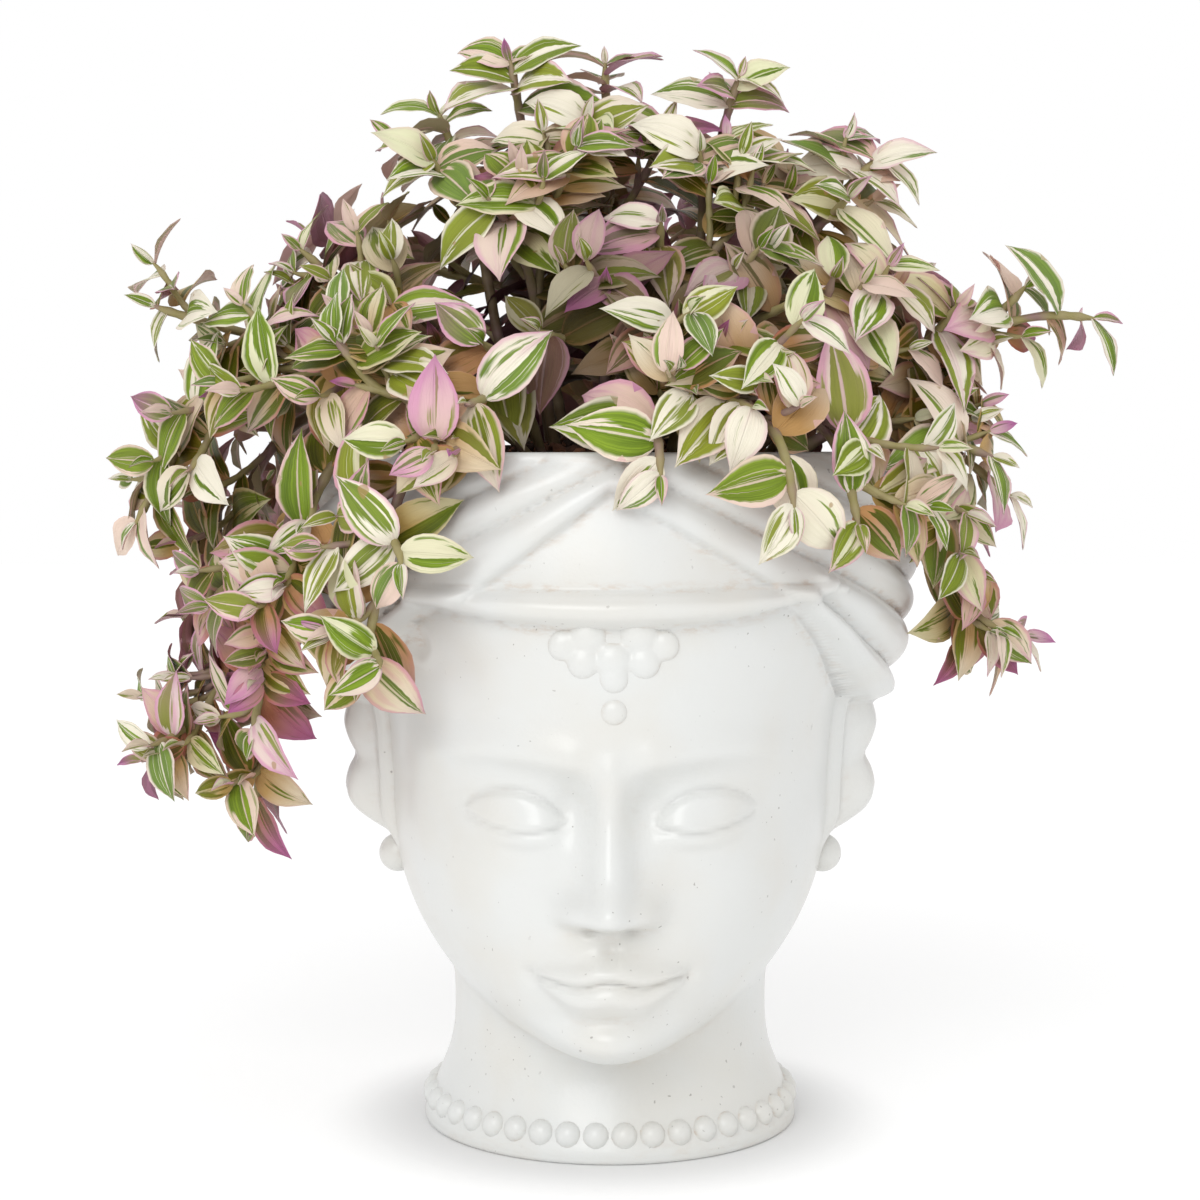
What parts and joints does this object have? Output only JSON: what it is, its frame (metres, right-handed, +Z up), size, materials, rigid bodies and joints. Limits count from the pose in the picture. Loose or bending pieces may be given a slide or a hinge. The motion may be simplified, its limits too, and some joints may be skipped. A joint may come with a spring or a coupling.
{
  "type": "potted small-leaved variegated tradescantia in a head planter",
  "caption": "Pink, cream and green striped tradescantia with branching and trailing stems, in a white ceramic planter shaped as a calm head with a wrapped headdress.",
  "frame": {"origin": "centre of the planter's foot, on the surface it stands on", "axes": "+Z up along the planter's height, the face looks along -Y, +X to the right of someone who faces it"},
  "size_m": [0.3591, 0.2454, 0.3859],
  "materials": {
    "white_glaze": "satin white glaze with faint brown stains in its folds",
    "dark_bark": "damp crumbly potting mix with bark chips",
    "striped_leaf": "soft satin leaf, striped green and cream with pink, on grey-brown stems"
  },
  "bodies": {
    "root": {"head_planter": "white_glaze", "potting_mix": "dark_bark", "stem_top_1": "striped_leaf", "stem_top_2": "striped_leaf", "stem_top_3": "striped_leaf", "stem_top_4": "striped_leaf", "stem_top_5": "striped_leaf", "stem_top_6": "striped_leaf", "stem_top_7": "striped_leaf", "stem_front_1": "striped_leaf", "stem_front_2": "striped_leaf", "stem_front_3": "striped_leaf", "stem_front_4": "striped_leaf", "stem_front_5": "striped_leaf", "stem_front_6": "striped_leaf", "stem_front_7": "striped_leaf", "stem_front_8": "striped_leaf", "stem_left_1": "striped_leaf", "stem_left_2": "striped_leaf", "stem_left_3": "striped_leaf", "stem_left_4": "striped_leaf", "stem_left_5": "striped_leaf", "stem_left_6": "striped_leaf", "stem_left_7": "striped_leaf", "stem_left_8": "striped_leaf", "stem_left_9": "striped_leaf", "stem_left_10": "striped_leaf", "stem_right_1": "striped_leaf", "stem_right_2": "striped_leaf", "stem_right_3": "striped_leaf", "stem_right_4": "striped_leaf", "stem_right_5": "striped_leaf", "stem_right_6": "striped_leaf", "stem_back_1": "striped_leaf", "stem_back_2": "striped_leaf", "stem_back_3": "striped_leaf", "stem_back_4": "striped_leaf", "stem_back_5": "striped_leaf", "stem_back_6": "striped_leaf", "stem_back_7": "striped_leaf", "stem_back_8": "striped_leaf", "stem_back_9": "striped_leaf", "stem_back_10": "striped_leaf"}
  },
  "joints": []
}
